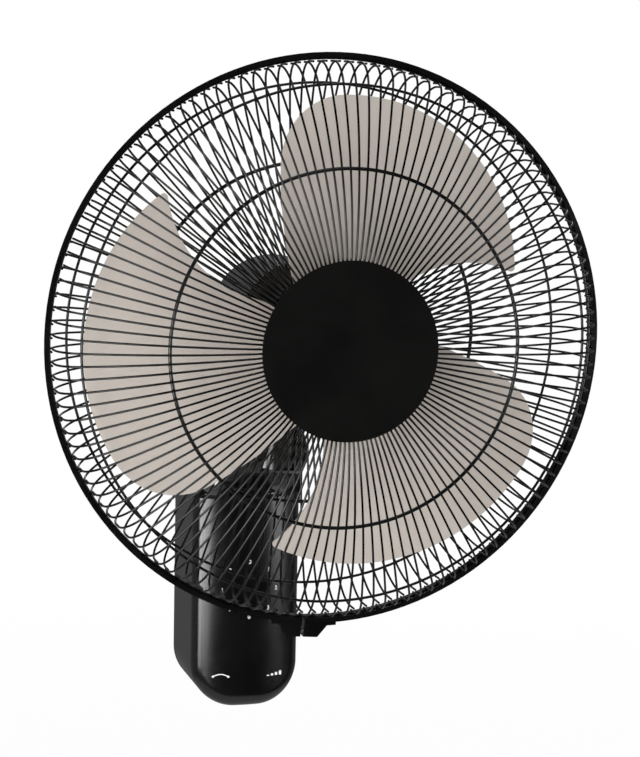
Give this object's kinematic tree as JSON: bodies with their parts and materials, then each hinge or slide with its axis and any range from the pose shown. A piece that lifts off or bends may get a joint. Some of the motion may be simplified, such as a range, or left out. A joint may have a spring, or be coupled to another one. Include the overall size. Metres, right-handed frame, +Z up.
{
  "type": "wall mounted fan",
  "caption": "Wall mounted fan: a round wire guard over pitched blades on a cylindrical motor that swings and tilts on a neck above a wall-hung switch box with a dial.",
  "frame": {"origin": "on the wall, midway between the two wall screw holes, at the wall plate's back face", "axes": "+Y into the wall, so the fan looks along -Y; +Z up; +X to the right of someone facing the fan"},
  "size_m": [0.4399, 0.383, 0.5773],
  "materials": {
    "black_gloss": "gloss",
    "black_matte": "satin",
    "blade_taupe": "satin",
    "black_wire": "gloss",
    "steel": "satin",
    "cast_aluminium": "satin",
    "winding": "satin",
    "capacitor_case": "satin",
    "grommet_rubber": "matte"
  },
  "bodies": {
    "base": {"wall_plate": "steel", "lock_screw": "steel", "rear_shell": "black_gloss", "front_cover": "black_gloss", "top_cover": "black_gloss", "cover_screws": "steel", "top_screws": "steel", "tilt_bolt": "steel", "tilt_nut": "steel", "speed_switch": "black_matte", "swing_switch": "black_matte", "terminal_block": "black_matte", "capacitor": "capacitor_case", "cord_eyelets": "black_matte", "mains_grommet": "grommet_rubber"},
    "speed_dial": {"speed_dial": "black_gloss"},
    "speed_pull": {"speed_pull_lever": "black_matte"},
    "swing_pull": {"swing_pull_rod": "black_matte"},
    "neck": {"neck": "black_gloss", "tilt_washers": "steel", "swivel_post": "steel", "post_washers": "steel", "swing_arm": "steel", "arm_screw": "steel"},
    "head": {"swivel_bracket": "cast_aluminium", "bracket_screws": "steel", "column_housing": "black_gloss", "motor_cover": "black_gloss", "motor_cover_screws": "steel", "motor_front_bracket": "cast_aluminium", "motor_rear_bracket": "cast_aluminium", "motor_bolts": "steel", "stator_core": "steel", "stator_windings": "winding", "motor_bearings": "steel", "swing_motor": "steel", "rear_hub_plate": "black_wire", "guard_nut": "black_matte", "rear_wires_left": "black_wire", "rear_wires_right": "black_wire", "rear_middle_ring": "black_wire", "rear_outer_ring": "black_wire", "edge_rings": "black_wire", "rim_band": "black_matte", "front_outer_ring": "black_wire", "front_middle_ring": "black_wire", "front_wires_left": "black_wire", "front_wires_right": "black_wire", "front_hub_plate": "black_wire", "front_cap": "black_matte", "cap_screw": "steel", "clip_left": "black_matte", "clip_right": "black_matte", "clip_screw": "steel"},
    "swing_crank": {"swing_crank": "steel"},
    "blade": {"fan_blade": "blade_taupe", "motor_shaft": "steel", "rotor": "steel", "drive_pin": "steel", "blade_nut": "black_matte"}
  },
  "joints": [
    {"name": "dial_turn", "type": "hinge", "parent": "base", "child": "speed_dial", "pos_m": [0, -0.0885, 0.0015], "axis": [0, -1, 0], "continuous": true},
    {"name": "speed_pull_turn", "type": "hinge", "parent": "base", "child": "speed_pull", "pos_m": [0, -0.057, 0.0015], "axis": [0, 1, 0], "range_deg": [0, 25], "stiffness_Nm_per_rad": 0.3},
    {"name": "swing_pull_slide", "type": "slide", "parent": "base", "child": "swing_pull", "axis": [0, 0, -1], "range_m": [0, 0.006], "stiffness_N_per_m": 600},
    {"name": "head_tilt", "type": "hinge", "parent": "base", "child": "neck", "pos_m": [0, -0.062, 0.099], "axis": [-1, 0, 0], "range_deg": [-15, 20]},
    {"name": "head_swing", "type": "hinge", "parent": "neck", "child": "head", "pos_m": [0, -0.167, 0.2], "axis": [0, 0, 1], "range_deg": [-45, 45]},
    {"name": "swing_crank_turn", "type": "hinge", "parent": "head", "child": "swing_crank", "pos_m": [0, -0.155, 0.218], "axis": [0, 0, 1], "range_deg": [-110, 110]},
    {"name": "blade_spin", "type": "hinge", "parent": "head", "child": "blade", "pos_m": [0, -0.317, 0.25], "axis": [0, -1, 0], "continuous": true}
  ],
  "couplings": [
    {"joint": "swing_crank_turn", "follows": "head_swing", "ratio": -2.4}
  ]
}
